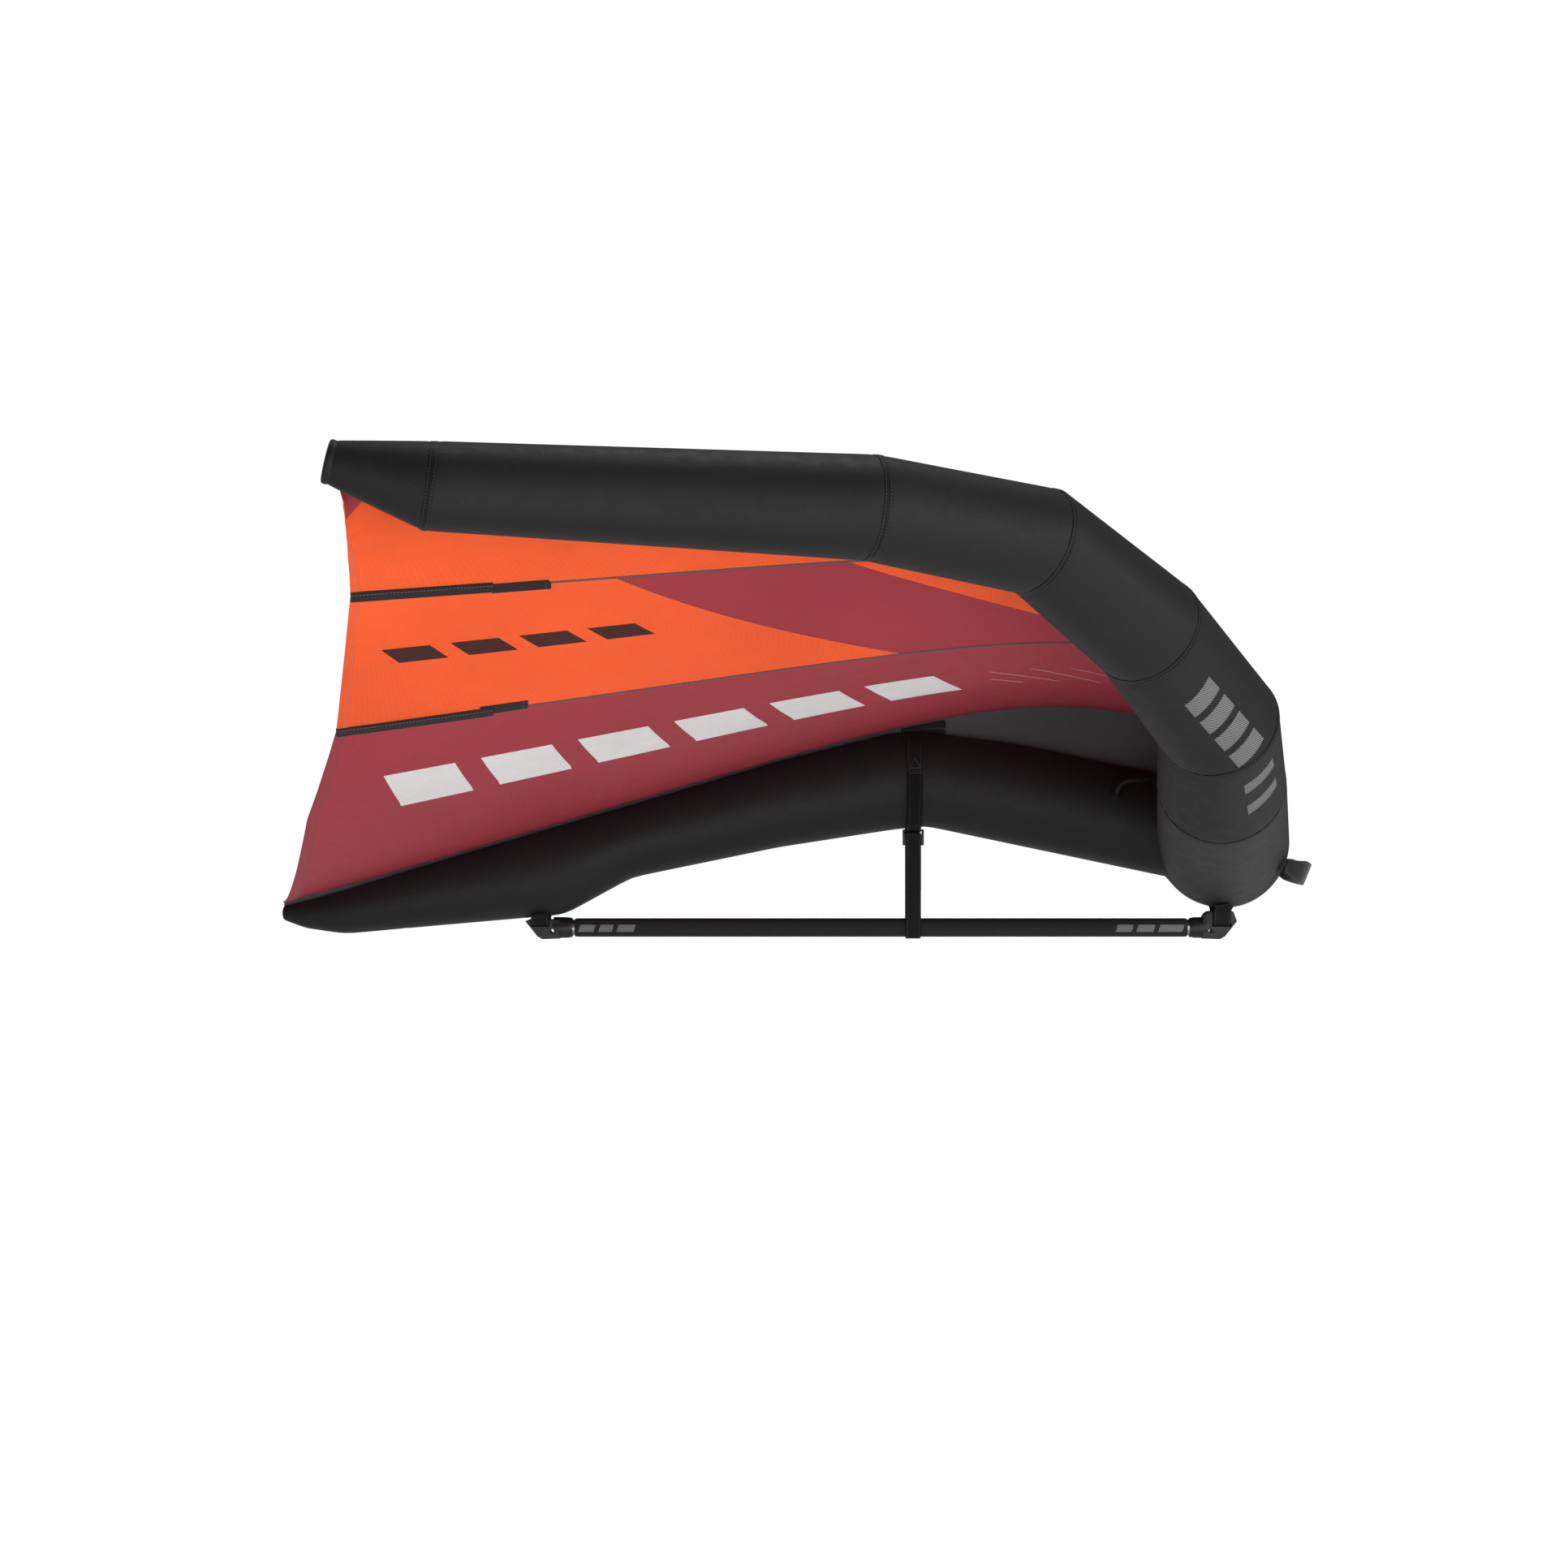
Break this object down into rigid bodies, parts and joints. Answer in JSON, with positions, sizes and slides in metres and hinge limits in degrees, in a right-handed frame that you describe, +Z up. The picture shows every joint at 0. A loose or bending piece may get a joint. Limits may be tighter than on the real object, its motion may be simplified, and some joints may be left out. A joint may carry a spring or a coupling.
{
  "type": "inflatable foil wing with boom",
  "caption": "Hand-held inflatable wing for foil boards: a swept inflated leading edge and centre strut, a cambered cloth canopy, and a straight rigid boom under the strut.",
  "frame": {"origin": "on the boom's axis, midway along its grip", "axes": "+X forward to the nose of the leading edge, +Y to the port (left) wing tip, +Z up, from the boom to the strut"},
  "size_m": [1.6949, 2.4146, 0.692],
  "materials": {
    "cloth_black": "plain-woven coated sailcloth, satin",
    "cloth_orange": "ripstop canopy cloth, satin",
    "cloth_maroon": "ripstop canopy cloth, satin",
    "bladder_film": "clear grey film, glossy",
    "webbing": "ribbed polyester webbing",
    "moulded_plastic": "fine spark-eroded texture",
    "grip_foam": "matte closed-cell foam",
    "hose_rubber": "smooth satin",
    "boom_tube": "anodised, satin",
    "batten_rod": "pultruded glass-fibre flat rod"
  },
  "bodies": {
    "wing": {"batten_inner_left": "batten_rod", "batten_inner_right": "batten_rod", "batten_outer_left": "batten_rod", "batten_outer_right": "batten_rod", "batten_pocket_inner_left": "cloth_black", "batten_pocket_inner_right": "cloth_black", "batten_pocket_outer_left": "cloth_black", "batten_pocket_outer_right": "cloth_black", "boom_fitting_front": "moulded_plastic", "boom_fitting_rear": "moulded_plastic", "boom_grip": "grip_foam", "boom_tube": "boom_tube", "buckle_frame": "moulded_plastic", "canopy_inner_left": "cloth_maroon", "canopy_inner_right": "cloth_maroon", "canopy_middle_left": "cloth_orange", "canopy_middle_right": "cloth_orange", "canopy_tip_left": "cloth_orange", "canopy_tip_right": "cloth_orange", "handle_tab_left": "webbing", "handle_tab_right": "webbing", "hose": "hose_rubber", "hose_stub_edge": "moulded_plastic", "hose_stub_strut": "moulded_plastic", "le_bladder": "bladder_film", "le_panel_1_left": "cloth_black", "le_panel_1_right": "cloth_black", "le_panel_2_left": "cloth_black", "le_panel_2_right": "cloth_black", "le_panel_3_left": "cloth_black", "le_panel_3_right": "cloth_black", "le_panel_4_left": "cloth_black", "le_panel_4_right": "cloth_black", "le_panel_5_left": "cloth_black", "le_panel_5_right": "cloth_black", "le_panel_6_left": "cloth_black", "le_panel_6_right": "cloth_black", "le_panel_centre": "cloth_black", "le_tip_cap_left": "cloth_black", "le_tip_cap_right": "cloth_black", "mount_band_front": "webbing", "mount_band_rear": "webbing", "strap_loop": "webbing", "strap_tail": "webbing", "strap_upper": "webbing", "strut_bladder": "bladder_film", "strut_front": "cloth_black", "strut_middle": "cloth_black", "strut_rear": "cloth_black", "strut_tail": "cloth_black", "strut_web": "cloth_black", "valve_base": "moulded_plastic"},
    "buckle_lever": {"buckle_lever": "moulded_plastic"},
    "handle": {"front_handle": "webbing"},
    "valve_cap": {"valve_cap": "moulded_plastic"}
  },
  "joints": [
    {"name": "buckle_lever_hinge", "type": "hinge", "parent": "wing", "child": "buckle_lever", "pos_m": [0.053, -0.007, 0.147], "axis": [1, 0, 0], "range_deg": [0, 50]},
    {"name": "handle_swing", "type": "hinge", "parent": "wing", "child": "handle", "pos_m": [0.65772, 0, 0.10454], "axis": [0, 1, 0], "range_deg": [-25, 25]},
    {"name": "valve_cap_hinge", "type": "hinge", "parent": "wing", "child": "valve_cap", "pos_m": [0.64777, 0.20235, 0.20638], "axis": [-0.1383, -0.2484, 0.9587], "range_deg": [0, 100]}
  ]
}
